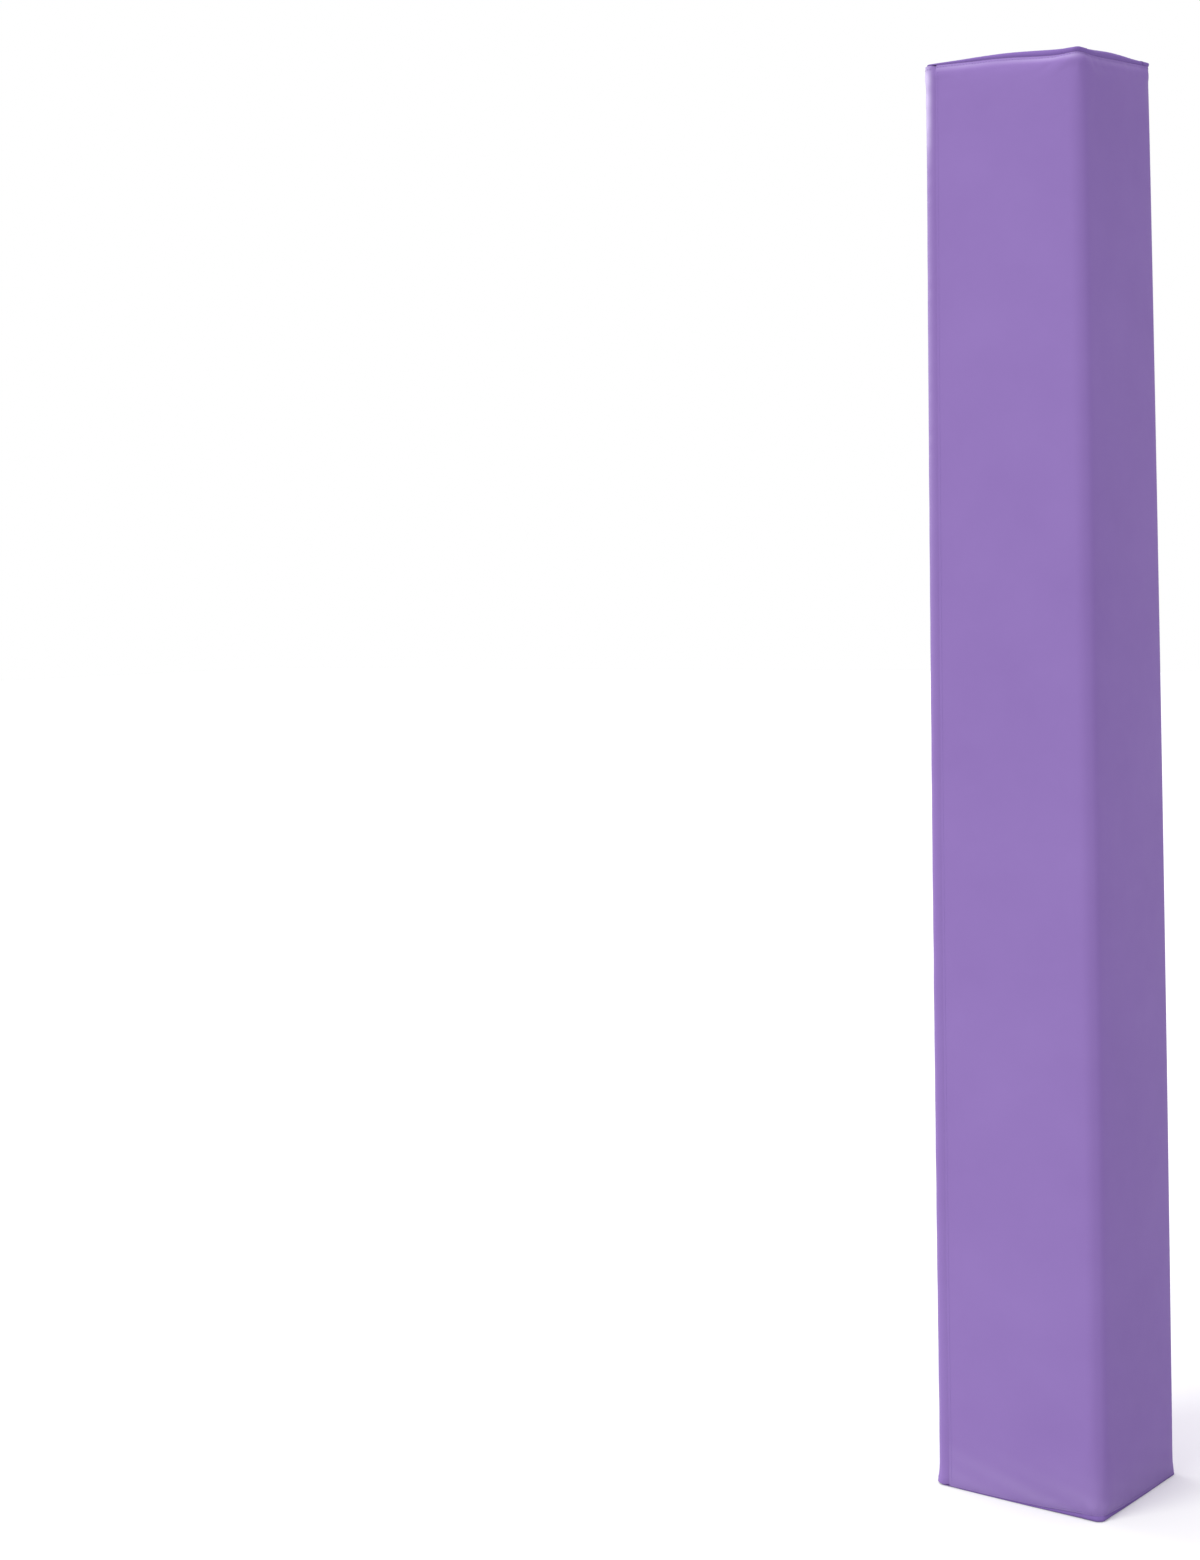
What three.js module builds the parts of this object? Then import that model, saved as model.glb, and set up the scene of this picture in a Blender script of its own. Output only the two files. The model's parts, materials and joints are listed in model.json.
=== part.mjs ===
// A square wrap-round pad for a basketball pole: four foam slabs in sewn vinyl pockets, joined at three
// corners and closed at the fourth by a flap with hook and loop tape. Millimetres, +Z up. The origin is on
// the floor at the middle of the pole opening, and the front face looks along -Y.
import * as THREE from "three";

// The whole pad
const padHeight = 1829;
const padWidth = 216;
const cornerRadius = 18;
const faceCrown = 2;

// The layers of one wall
const foamThickness = 38;
const vinylThickness = 0.6;
const layerGap = 0.3;

// The rolled top and bottom edges, and the seam that closes each pocket there
const endRollDepth = 12;
const endRollHeight = 24;
const endSeamDrop = 10;
const innerCornerRadius = 1;

// The closure flap and its tapes
const flapThickness = 1.2;
const flapEndInset = 12;
const flapMargin = 6;
const tapeWidth = 50;
const tapeThickness = 1.2;
const tapeEndInset = 24;

// How finely the curved surfaces are divided
const skinCounts = { arc: 4, flat: 6, roll: 3, face: 12 };
const foamCounts = { arc: 3, flat: 4, roll: 3, face: 8 };
const endCounts = { arc: 4, flat: 6, roll: 3 };
const liningCounts = { mitre: 4 };
const flapCounts = { arc: 6, ramp: 3, tape: 3, rows: 8 };
const tapeCounts = { across: 3, rows: 8 };

// How flat the crown stays along the height before it dies away at the ends
const crownPower = 6;

// What follows from the driving sizes
const quarterTurn = Math.PI / 2;
const mitreTurn = quarterTurn / 2;
const skinDepth = vinylThickness + layerGap;
const wallThickness = foamThickness + 2 * skinDepth;
const faceHalf = padWidth / 2 - faceCrown;
const openingHalf = faceHalf - wallThickness;
const flatHalf = faceHalf - cornerRadius;
const mitreGap = layerGap / 2;

const vinylPurple = new THREE.MeshStandardMaterial({ color: 0x967cbd, roughness: 0.45, metalness: 0 });
const vinylPurpleHem = new THREE.MeshStandardMaterial({ color: 0x8a6fb2, roughness: 0.5, metalness: 0 });
const liningPurple = new THREE.MeshStandardMaterial({ color: 0x7c66a2, roughness: 0.6, metalness: 0 });
const foamWhite = new THREE.MeshStandardMaterial({ color: 0xe9e6df, roughness: 0.95, metalness: 0 });
const hookBlack = new THREE.MeshStandardMaterial({ color: 0x1d1b20, roughness: 0.9, metalness: 0 });
const loopBlack = new THREE.MeshStandardMaterial({ color: 0x26232b, roughness: 1, metalness: 0 });

// Evenly spaced values from first to last, both included.
function steps(first, last, count) {
  return Array.from({ length: count + 1 }, (_, k) => first + ((last - first) * k) / count);
}

// Values that crowd towards both ends, where the surface bends most.
function crowdedSteps(first, last, count) {
  return steps(0, Math.PI, count).map((turn) => first + ((last - first) * (1 - Math.cos(turn))) / 2);
}

// Stations across one face, from one mitre to the other: half a corner, the flat, half a corner. share runs
// -1 to 1 over the flat; turn is the angle that the surface has turned away from the face.
function stationsAcross({ arc, flat }) {
  const left = steps(-mitreTurn, 0, arc).map((turn) => ({ share: -1, turn }));
  const middle = steps(-1, 1, flat).slice(1, -1).map((share) => ({ share, turn: 0 }));
  const right = steps(0, mitreTurn, arc).map((turn) => ({ share: 1, turn }));
  return [...left, ...middle, ...right];
}

// The crown of a face: highest at its middle, dying away towards the corners and the ends.
function crownAt(share, height) {
  const towardsEnd = Math.abs((2 * height) / padHeight - 1);
  return faceCrown * (1 - share ** 2) * (1 - towardsEnd ** crownPower);
}

// A point of the outline at a depth under the outside. The outline is narrowed a little, so that its mitred
// edges stand back by clearance.
function outlinePoint({ share, turn }, depth, height, clearance) {
  const radius = Math.max(cornerRadius - depth, innerCornerRadius);
  const centre = faceHalf - depth - radius;
  const edge = centre + radius * Math.cos(mitreTurn);
  const narrowing = (edge - clearance * Math.SQRT2) / edge;
  const along = share * centre + radius * Math.sin(turn);
  const out = centre + radius * Math.cos(turn) + crownAt(share, height);
  return [along * narrowing, out, height];
}

// Depth and distance from the end on the rolled edge, at a turn from the face to the end, under a skin depth.
function rollPoint(turn, under) {
  return {
    depth: endRollDepth - (endRollDepth - under) * Math.cos(turn),
    drop: endRollHeight - (endRollHeight - under) * Math.sin(turn),
  };
}

// The turn on the rolled edge at a distance from the end.
function rollTurn(drop) {
  return Math.asin((endRollHeight - drop) / endRollHeight);
}

// One closed body between two matching grids of points. Points are [along the face, out from the axis, up].
function bodyBetween(outer, inner) {
  const rows = outer.length;
  const columns = outer[0].length;
  const positions = [...outer.flat(), ...inner.flat()].flatMap(([along, out, up]) => [along, -out, up]);
  const outerAt = (row, column) => row * columns + column;
  const innerAt = (row, column) => rows * columns + outerAt(row, column);
  const triangles = [];
  const quad = (a, b, c, d) => triangles.push(a, b, c, a, c, d);
  for (let row = 0; row + 1 < rows; row += 1) {
    for (let column = 0; column + 1 < columns; column += 1) {
      const above = row + 1;
      const beside = column + 1;
      quad(outerAt(row, column), outerAt(row, beside), outerAt(above, beside), outerAt(above, column));
      quad(innerAt(row, column), innerAt(above, column), innerAt(above, beside), innerAt(row, beside));
    }
  }
  for (let column = 0; column + 1 < columns; column += 1) {
    const last = rows - 1;
    quad(outerAt(0, column), innerAt(0, column), innerAt(0, column + 1), outerAt(0, column + 1));
    quad(outerAt(last, column + 1), innerAt(last, column + 1), innerAt(last, column), outerAt(last, column));
  }
  for (let row = 0; row + 1 < rows; row += 1) {
    const last = columns - 1;
    quad(outerAt(row + 1, 0), innerAt(row + 1, 0), innerAt(row, 0), outerAt(row, 0));
    quad(outerAt(row, last), innerAt(row, last), innerAt(row + 1, last), outerAt(row + 1, last));
  }
  const geometry = new THREE.BufferGeometry();
  geometry.setAttribute("position", new THREE.Float32BufferAttribute(positions, 3));
  geometry.setIndex(triangles);
  geometry.computeVertexNormals();
  return geometry;
}

// Outside vinyl of one panel: the crowned face with half a round corner at each side, drawn in towards the
// end seams.
function outerSkin() {
  const stations = stationsAcross(skinCounts);
  const seamTurn = rollTurn(endSeamDrop + mitreGap);
  const surface = (under) => {
    const roll = steps(seamTurn, 0, skinCounts.roll).map((turn) => rollPoint(turn, under));
    const face = crowdedSteps(endRollHeight, padHeight - endRollHeight, skinCounts.face).slice(1, -1);
    const rows = [
      ...roll.map(({ depth, drop }) => [depth, drop]),
      ...face.map((height) => [under, height]),
      ...roll.reverse().map(({ depth, drop }) => [depth, padHeight - drop]),
    ];
    return rows.map(([depth, height]) => stations.map((s) => outlinePoint(s, depth, height, mitreGap)));
  };
  return bodyBetween(surface(0), surface(vinylThickness));
}

// End piece of one pocket: it starts at the end seam on the face, rolls over the foam and lies flat across
// the wall's end, as far as the pole opening. The bottom one is its mirror image.
function endPiece(isTop) {
  const stations = stationsAcross(endCounts);
  const seamTurn = rollTurn(endSeamDrop - mitreGap);
  const surface = (under) => {
    const roll = steps(seamTurn, quarterTurn, endCounts.roll).map((turn) => rollPoint(turn, under));
    const rows = [...roll, { depth: wallThickness, drop: under }];
    const placed = rows.map(({ depth, drop }) => [depth, isTop ? padHeight - drop : drop]);
    const ordered = isTop ? placed : placed.reverse();
    return ordered.map(([depth, height]) => stations.map((s) => outlinePoint(s, depth, height, mitreGap)));
  };
  return bodyBetween(surface(0), surface(vinylThickness));
}

// Foam slab: mitred at both sides, its outside edges rounded under the vinyl.
function foamSlab() {
  const stations = stationsAcross(foamCounts);
  const mitreClearance = mitreGap + skinDepth;
  const insideOut = openingHalf + skinDepth;
  const roll = steps(quarterTurn, 0, foamCounts.roll).map((turn) => rollPoint(turn, skinDepth));
  const face = crowdedSteps(endRollHeight, padHeight - endRollHeight, foamCounts.face).slice(1, -1);
  const rows = [
    ...roll.map(({ depth, drop }) => [depth, drop]),
    ...face.map((height) => [skinDepth, height]),
    ...roll.reverse().map(({ depth, drop }) => [depth, padHeight - drop]),
  ];
  const outer = rows.map(([depth, height]) =>
    stations.map((s) => outlinePoint(s, depth, height, mitreClearance)));
  const insideHalf = insideOut - mitreClearance * Math.SQRT2;
  const inner = outer.map((row) => {
    const reach = row[row.length - 1][0];
    return row.map(([along, , height]) => [(along / reach) * insideHalf, insideOut, height]);
  });
  return bodyBetween(outer, inner);
}

// Inside vinyl of one panel: it lines both mitred sides and the side that lies against the pole. Its edges
// follow the rolled ends and stop under the outside vinyl at the corners.
function innerLining() {
  const endDrop = (depth) => {
    if (depth >= endRollDepth) return skinDepth;
    const share = (endRollDepth - depth) / (endRollDepth - skinDepth);
    return endRollHeight - (endRollHeight - skinDepth) * Math.sqrt(1 - Math.min(1, share) ** 2);
  };
  const mitrePoint = (depth) => {
    const radius = Math.max(cornerRadius - depth, innerCornerRadius);
    const out = faceHalf - depth - radius * (1 - Math.cos(mitreTurn));
    return { along: out - mitreGap * Math.SQRT2, out, drop: endDrop(depth) };
  };
  const sideShift = vinylThickness * Math.SQRT1_2;
  const side = crowdedSteps(skinDepth, 2 * endRollDepth, liningCounts.mitre)
    .map(mitrePoint)
    .map((p) => ({ ...p, innerAlong: p.along - sideShift, innerOut: p.out + sideShift }));
  const cornerOut = openingHalf + vinylThickness;
  const corner = {
    along: openingHalf - mitreGap * Math.SQRT2,
    out: openingHalf,
    drop: skinDepth,
    innerAlong: cornerOut - (mitreGap + vinylThickness) * Math.SQRT2,
    innerOut: cornerOut,
  };
  const half = [...side, corner];
  const flip = (p) => ({ ...p, along: -p.along, innerAlong: -p.innerAlong });
  const columns = [...half.map(flip), ...half.reverse()];
  const grid = (alongKey, outKey) => [0, 1].map((isTop) =>
    columns.map((p) => [p[alongKey], p[outKey], isTop ? padHeight - p.drop : p.drop]));
  return bodyBetween(grid("innerAlong", "innerOut"), grid("along", "out"));
}

// Heights of the rows of a piece that stops at an inset from both ends.
function rowHeights(endInset, count) {
  return crowdedSteps(endInset, padHeight - endInset, count);
}

const tapeEdge = flatHalf - flapMargin;
const loopTapeDepth = layerGap;
const hookTapeDepth = loopTapeDepth + tapeThickness + layerGap;
const flapOverTapes = hookTapeDepth + tapeThickness + layerGap;

// A tape on the left panel's face beside the closing corner, standing a given height off the vinyl.
function tape(standOff) {
  const stations = steps(tapeEdge - tapeWidth, tapeEdge, tapeCounts.across)
    .map((along) => ({ share: along / flatHalf, turn: 0 }));
  const surface = (height) => rowHeights(tapeEndInset, tapeCounts.rows)
    .map((up) => stations.map(({ share }) => [share * flatHalf, faceHalf + crownAt(share, up) + height, up]));
  return bodyBetween(surface(standOff + tapeThickness), surface(standOff));
}

// Closure flap, in the front panel's directions: sewn where the front face meets its left corner, it goes
// round that corner and lies over the tapes on the left panel.
function closureFlap() {
  const reach = tapeEdge - tapeWidth - flapMargin;
  const surface = (over) => {
    const corner = (up) => steps(0, quarterTurn, flapCounts.arc).map((turn) => {
      const radius = cornerRadius + layerGap + over;
      return [-flatHalf - radius * Math.sin(turn), flatHalf + radius * Math.cos(turn), up];
    });
    const lying = (from, to, count, standOff) => steps(from, to, count).slice(1)
      .map((out, k) => ({ out, standOff: standOff((k + 1) / count) }));
    const rise = flapOverTapes - layerGap;
    const side = [
      ...lying(flatHalf, tapeEdge, flapCounts.ramp, (share) => layerGap + rise * share),
      ...lying(tapeEdge, reach, flapCounts.tape, () => flapOverTapes),
    ];
    const face = (up) => side.map(({ out, standOff }) =>
      [-faceHalf - crownAt(out / flatHalf, up) - standOff - over, out, up]);
    return rowHeights(flapEndInset, flapCounts.rows)
      .map((up) => [...corner(up), ...face(up)].reverse());
  };
  return bodyBetween(surface(flapThickness), surface(0));
}

function namedMesh(name, geometry, material) {
  const mesh = new THREE.Mesh(geometry, material);
  mesh.name = name;
  return mesh;
}

// One padded panel: foam in a pocket of outside vinyl, lining and two end pieces.
function panel(name) {
  const group = new THREE.Group();
  group.add(namedMesh(`${name}_outer_skin`, outerSkin(), vinylPurple));
  group.add(namedMesh(`${name}_inner_lining`, innerLining(), liningPurple));
  group.add(namedMesh(`${name}_top_end`, endPiece(true), vinylPurpleHem));
  group.add(namedMesh(`${name}_bottom_end`, endPiece(false), vinylPurpleHem));
  group.add(namedMesh(`${name}_foam_slab`, foamSlab(), foamWhite));
  return group;
}

// The four panels round the pole, each a quarter turn on from the last.
const panelNames = ["front", "right", "back", "left"];
const pad = new THREE.Group();
const panels = Object.fromEntries(panelNames.map((name, k) => {
  const placed = panel(name);
  placed.rotation.z = k * quarterTurn;
  pad.add(placed);
  return [name, placed];
}));

panels.front.add(namedMesh("closure_flap", closureFlap(), vinylPurple));
panels.left.add(namedMesh("flap_hook_tape", tape(hookTapeDepth), hookBlack));
panels.left.add(namedMesh("left_loop_tape", tape(loopTapeDepth), loopBlack));

export default pad;
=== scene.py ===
import json
import math

import bpy
import numpy as np
from mathutils import Matrix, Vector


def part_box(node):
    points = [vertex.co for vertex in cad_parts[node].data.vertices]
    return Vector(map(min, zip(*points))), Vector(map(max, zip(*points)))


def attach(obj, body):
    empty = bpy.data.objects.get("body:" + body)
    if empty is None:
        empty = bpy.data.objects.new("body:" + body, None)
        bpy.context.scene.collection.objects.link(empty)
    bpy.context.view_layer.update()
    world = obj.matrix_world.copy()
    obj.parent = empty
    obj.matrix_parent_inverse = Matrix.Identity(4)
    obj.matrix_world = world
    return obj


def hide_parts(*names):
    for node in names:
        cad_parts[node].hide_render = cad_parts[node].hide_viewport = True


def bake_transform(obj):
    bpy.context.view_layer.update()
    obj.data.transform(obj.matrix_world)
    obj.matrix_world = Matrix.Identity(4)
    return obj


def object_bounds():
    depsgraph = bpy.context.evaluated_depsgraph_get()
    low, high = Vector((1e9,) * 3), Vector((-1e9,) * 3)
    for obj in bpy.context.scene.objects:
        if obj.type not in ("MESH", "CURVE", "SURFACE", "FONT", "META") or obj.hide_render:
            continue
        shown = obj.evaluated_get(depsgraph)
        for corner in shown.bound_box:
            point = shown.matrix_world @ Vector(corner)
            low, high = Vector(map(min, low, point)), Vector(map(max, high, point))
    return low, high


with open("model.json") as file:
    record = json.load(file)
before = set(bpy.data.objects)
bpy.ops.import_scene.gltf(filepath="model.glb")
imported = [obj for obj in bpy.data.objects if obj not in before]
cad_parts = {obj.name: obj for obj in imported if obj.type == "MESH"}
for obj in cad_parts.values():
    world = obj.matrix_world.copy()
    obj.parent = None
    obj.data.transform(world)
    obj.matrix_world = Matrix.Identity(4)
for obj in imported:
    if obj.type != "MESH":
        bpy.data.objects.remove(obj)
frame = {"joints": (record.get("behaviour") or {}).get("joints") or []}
cad_low, cad_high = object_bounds()

# Foam slabs. One slab of soft closed-cell foam stands in each of the four pockets. It is cut from sheet, its
# two long sides are mitred so that the closed pad is square, and its outside edges are rounded by hand.

MM = 0.001
PANELS = ["front", "right", "back", "left"]
joint_at = {joint["name"]: joint["pos_m"] for joint in frame["joints"]}

pad_height = cad_high.z
flat_half = -joint_at["flap_peel"][0]
fold_axis = joint_at["front_right_fold"][0]
corner_radius = (fold_axis - flat_half) / math.cos(math.pi / 4)
side_length = 2 * (flat_half + corner_radius * math.pi / 4)
face_half = flat_half + corner_radius
face_crown = -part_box("front_outer_skin")[0].y - face_half
opening_half = -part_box("front_inner_lining")[1].y
wall_thickness = face_half - opening_half
least_radius = 1 * MM
vinyl_thickness = 0.6 * MM
mitre_gap = 0.15 * MM

spread_at_top = 0.5 * MM
spread_at_bottom = 7.5 * MM
sunk_corner = (face_half, -face_half)
sunk_by = 10 * MM
sunk_width = 80 * MM
sunk_height = 100 * MM
corner_drawn = 8 * MM
drawn_height = 22 * MM

foam_under_face = 1.1 * MM
foam_under_corner = 3.4 * MM
foam_over_lining = 0.9 * MM
foam_fold_gap = 1 * MM
foam_round_depth = 14 * MM
foam_round_height = 34 * MM
foam_under_end = 2.4 * MM
foam_cell = 0.9 * MM


def bell(distance, width):
    """One where the distance is nothing, dying away on both sides: exp(-(distance / width)**2)."""
    return np.exp(-(distance / width) ** 2)


def placed(panel, along, out, up, fold_gap=None):
    """Points given along a face, out from the pole's middle line, and up, turned to the panel's own side of
    the square: a quarter turn for each panel from the front one (0) to the left one (3). The wall is a
    little thicker than it was cut, and most at the bottom, where the pad's own weight spreads the foam. The
    corner between the front and the right has sunk a little at the top. With a fold gap, what would stand
    beyond the axis of a fold is held back to that gap, so that the fold can open."""
    spread = spread_at_top + (spread_at_bottom - spread_at_top) * (1 - (up / pad_height) ** 2)
    spread = spread * np.clip((out - opening_half) / wall_thickness, 0, 1)
    along, out = along * (out + spread) / out, out + spread
    if fold_gap is not None:
        along = np.maximum(along, fold_gap - fold_axis) if panel != 0 else along
        along = np.minimum(along, fold_axis - fold_gap) if panel != 3 else along
    quarter = panel * (math.pi / 2)
    x = along * np.cos(quarter) + out * np.sin(quarter)
    y = along * np.sin(quarter) - out * np.cos(quarter)
    to_corner = np.hypot(x - sunk_corner[0], y - sunk_corner[1])
    near_top = np.clip(1 - (pad_height - up) / sunk_height, 0, 1)
    up = up - sunk_by * near_top**2 * bell(to_corner, sunk_width)
    return np.stack(np.broadcast_arrays(x, y, up), axis=-1)


def corner_turn(up):
    """Radius of a corner at a height: the cloth is sewn squarer towards the two ends of the pad."""
    from_end = np.minimum(up, pad_height - up)
    return corner_radius - corner_drawn * np.clip(1 - from_end / drawn_height, 0, 1) ** 2


def across_face(across, depth, up, clearance=0.0):
    """Place along the face and out from the middle, for a distance walked from the face's middle line: over
    the flat it lies straight out, and past it it turns with the corner's arc, which is smaller further in
    and towards the ends. The row is narrowed so that its mitred edges stand back by the clearance."""
    arc = corner_turn(up)
    longer = corner_radius - arc
    past_flat = np.clip((np.abs(across) - flat_half) / (corner_radius * math.pi / 4), 0, 1)
    reach = past_flat * (longer + arc * math.pi / 4)
    straight = np.minimum(reach, longer)
    turn = (reach - straight) / arc
    radius = np.maximum(arc - depth, least_radius)
    centre = face_half - depth - radius
    edge = centre + radius * math.cos(math.pi / 4)
    narrowing = (edge - clearance * math.sqrt(2)) / edge
    flat = np.minimum(np.abs(across), flat_half) + straight
    along = flat / (flat_half + longer) * centre + radius * np.sin(turn)
    return np.sign(across) * along * narrowing, centre + radius * np.cos(turn)


def crown(across, up):
    """Swell of a face: highest along its middle line, dying away to the corners and the two ends."""
    share = np.clip(across / flat_half, -1, 1)
    to_end = np.abs(2 * up / pad_height - 1)
    return face_crown * (1 - share**2) * (1 - to_end**6)


def facing(points):
    """Unit normals of a grid of points: columns crossed with rows, each by central differences."""
    over = np.gradient(points, axis=1)
    upward = np.gradient(points, axis=0)
    normals = np.cross(over, upward)
    return normals / np.maximum(np.linalg.norm(normals, axis=-1, keepdims=True), 1e-12)


def grid_faces(at):
    """The faces of a grid, four points to a face, from the numbers of its points."""
    return np.stack([at[:-1, :-1], at[:-1, 1:], at[1:, 1:], at[1:, :-1]], axis=-1).reshape(-1, 4)


def new_piece(name, points, faces):
    """A new object in the scene, made of these points and faces."""
    mesh = bpy.data.meshes.new(name)
    mesh.from_pydata(points.reshape(-1, 3).tolist(), [], faces.tolist())
    mesh.update()
    piece = bpy.data.objects.new(name, mesh)
    bpy.context.scene.collection.objects.link(piece)
    return piece


def body_between(name, outside, inside, outside_normals=None, painted_light=None):
    """A closed body between two matching grids of points: the outside grid, the inside grid turned over, and
    a rim of four strips. It is shaded with the normals of the two grids, and may carry an attribute that
    says how much paler the cloth is painted at each point, as painted highlight and painted light."""
    rows, columns = outside.shape[:2]
    count = rows * columns
    at = np.arange(count).reshape(rows, columns)
    face = grid_faces(at)
    edges = [at[0, ::-1], at[-1, :], at[:, 0], at[::-1, -1]]
    rims = [np.stack([e[1:], e[:-1], e[:-1] + count, e[1:] + count], axis=-1)[:, ::-1] for e in edges]
    points = np.concatenate([outside.reshape(-1, 3), inside.reshape(-1, 3)])
    piece = new_piece(name, points, np.concatenate([face, face[:, ::-1] + count, *rims]))
    if outside_normals is None:
        outside_normals = facing(outside)
    normals = np.concatenate([outside_normals.reshape(-1, 3), -facing(inside).reshape(-1, 3)])
    piece.data.normals_split_custom_set_from_vertices(normals.tolist())
    # The attribute carries painted light: how much of the pale painted-highlight tint the cloth gets.
    if painted_light is not None:
        mark = piece.data.attributes.new("painted_light", "FLOAT", "POINT")
        mark.data.foreach_set("value", np.tile(painted_light.ravel(), 2).astype(np.float32))
    return piece


def linear(code):
    """An sRGB hex colour as linear red, green, blue and alpha."""
    parts = [int(code[k:k + 2], 16) / 255 for k in (1, 3, 5)]
    return [p / 12.92 if p <= 0.04045 else ((p + 0.055) / 1.055) ** 2.4 for p in parts] + [1.0]


def fill(tree, made, inputs):
    """Fills a node's inputs: one given as a socket is linked, and any other is set."""
    for key, value in inputs.items():
        if isinstance(value, bpy.types.NodeSocket):
            tree.links.new(value, made.inputs[key])
        else:
            made.inputs[key].default_value = value


def node(tree, kind, inputs=None, **settings):
    """Adds a shader node of a kind, with its settings and its inputs."""
    made = tree.nodes.new("ShaderNode" + kind)
    for key, value in settings.items():
        setattr(made, key, value)
    fill(tree, made, inputs or {})
    return made


def material(name):
    """A new material with its node tree, its Principled shader and its Object coordinates."""
    made = bpy.data.materials.new(name)
    made.use_nodes = True
    tree = made.node_tree
    return made, tree, tree.nodes["Principled BSDF"], node(tree, "TexCoord").outputs["Object"]


def give(piece, finish, body=None):
    """Gives a piece its material, and lets it ride on a body."""
    piece.data.materials.append(finish)
    if body:
        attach(piece, body)
    return piece


# Closed-cell polyethylene foam, off-white: small cells whose cut walls scatter the light, so it is dull.
foam_finish, tree, shader, place = material("closed_cell_foam_cut_from_sheet")
cells = node(tree, "TexVoronoi", {"Vector": place, "Scale": 1 / foam_cell})
cloud = node(tree, "TexNoise", {"Vector": place, "Scale": 18.0, "Detail": 3.0})
tint = node(tree, "Mix", {"Factor": cloud.outputs["Fac"], "A": linear("#E9E6DF"),
                          "B": linear("#DAD5C9")}, data_type="RGBA")
pits = node(tree, "Bump", {"Height": cells.outputs["Distance"], "Strength": 0.5, "Distance": 0.2 * MM})
fill(tree, shader, {"Base Color": tint.outputs["Result"], "Normal": pits.outputs["Normal"],
                    "Roughness": 0.92, "Specular IOR Level": 0.2})


def foam_surface(panel):
    """The slab's outside: rows go up it, rounded over at both ends, and columns go across it from mitre to
    mitre. The inside is flat, and as wide as the mitres leave it."""
    turn = np.linspace(math.pi / 2, 0, 9)
    roll_sink = foam_round_depth * (1 - np.cos(turn))
    roll_up = foam_under_end + foam_round_height * (1 - np.sin(turn))
    middle = np.linspace(roll_up[-1], pad_height - roll_up[-1], 60)[1:-1]
    sink = np.concatenate([roll_sink, 0 * middle, roll_sink[::-1]])[:, None]
    up = np.concatenate([roll_up, middle, pad_height - roll_up[::-1]])[:, None]
    across = np.linspace(-0.5, 0.5, 49)[None, :] * side_length
    at_corner = np.clip((np.abs(across) - 0.8 * flat_half) / (0.2 * flat_half), 0, 1)
    depth = sink + foam_under_face + (foam_under_corner - foam_under_face) * at_corner
    clearance = mitre_gap + foam_over_lining
    along, out = across_face(across, depth, up, clearance)
    outside = placed(panel, along, out + crown(across, up), up, foam_fold_gap)
    inside_out = opening_half + foam_over_lining
    inside_along = along / np.abs(along[:, -1:]) * (inside_out - clearance * math.sqrt(2))
    return outside, placed(panel, inside_along, inside_out + 0 * out, up, foam_fold_gap)


for k, name in enumerate(PANELS):
    slab = body_between(f"{name}_foam", *foam_surface(k))
    give(slab, foam_finish, f"{name}_panel")
    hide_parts(f"{name}_foam_slab")


# Outside vinyl. One long sheet of PVC-coated cloth runs round the pad from the closing corner and back. It
# is pulled over the foam, folded under at both ends, and sewn there to the end pieces, so it has a slight
# crown, a soft roll just inside each end seam, and small puckers where the thread draws it in.

split_at = 66 * MM
roll_height = 11 * MM
groove_depth = 0.7 * MM
groove_width = 1.9 * MM
least_groove = 0.3
full_groove_roll = 1.5 * MM
pucker_reach = 15 * MM
pucker_size = 0.72 * MM
wave_size = 0.25 * MM
# Where painted light lies on the sheet: painted highlight on the crest of the top roll and at the top of the
# near corner, and painted light at the foot.
highlight_crest_at = 4.8 * MM
highlight_crest_width = 3 * MM
highlight_corner_at = 0.975 * side_length
foot_light_height = 48 * MM
flap_sink = 2.2 * MM
edge_strip_width = 24 * MM

# The swell beyond each roll: its height, its distance from the seam, and its width.
top_swell = (0.5 * MM, 14 * MM, 5 * MM)
bottom_swell = (0.3 * MM, 6 * MM, 12 * MM)

# How far under each end the seam lies, in millimetres, along the walk round the pad in quarters of it. At
# the closing corner the cloth is pulled up higher than in the middle of a face.
top_seam = ([0.0, 0.12, 0.30, 0.50, 0.70, 0.86, 0.94, 1.0, 1.07, 1.2, 1.4, 1.63, 1.86, 2.0, 2.3, 2.6, 3.0,
             3.3, 3.6, 4.0],
            [2.2, 3.6, 5.6, 7.0, 8.8, 9.6, 8.0, 4.6, 8.4, 10.6, 11.0, 9.5, 6.4, 4.5, 8.5, 10.0, 5.0,
             9.2, 8.5, 2.2])
bottom_seam = ([0.0, 0.3, 0.6, 0.85, 1.0, 1.2, 1.6, 2.0, 2.4, 3.0, 3.5, 4.0],
               [2.0, 2.1, 3.4, 6.6, 8.0, 5.2, 2.8, 3.4, 6.0, 4.4, 5.0, 2.0])

# How deep the sheet rolls in at each end seam, along the same walk: hardly at all at the corners, where the
# folded ends hold it out, and most in the middle of the faces.
top_roll = ([0.0, 0.12, 0.34, 0.48, 0.56, 0.72, 0.88, 1.0, 1.1, 1.5, 1.8, 2.0, 2.5, 3.0, 3.5, 3.85, 4.0],
            [0.5, 3.0, 4.6, 3.4, 3.6, 4.9, 5.0, 3.4, 1.6, 2.2, 2.6, 0.6, 2.8, 0.9, 2.6, 1.2, 0.5])
bottom_roll = ([0.0, 0.15, 0.5, 0.8, 1.0, 1.3, 1.6, 2.0, 2.5, 3.0, 3.5, 3.85, 4.0],
               [0.3, 0.4, 0.5, 1.3, 1.5, 0.7, 0.5, 0.4, 1.2, 0.5, 1.0, 0.5, 0.3])
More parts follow.
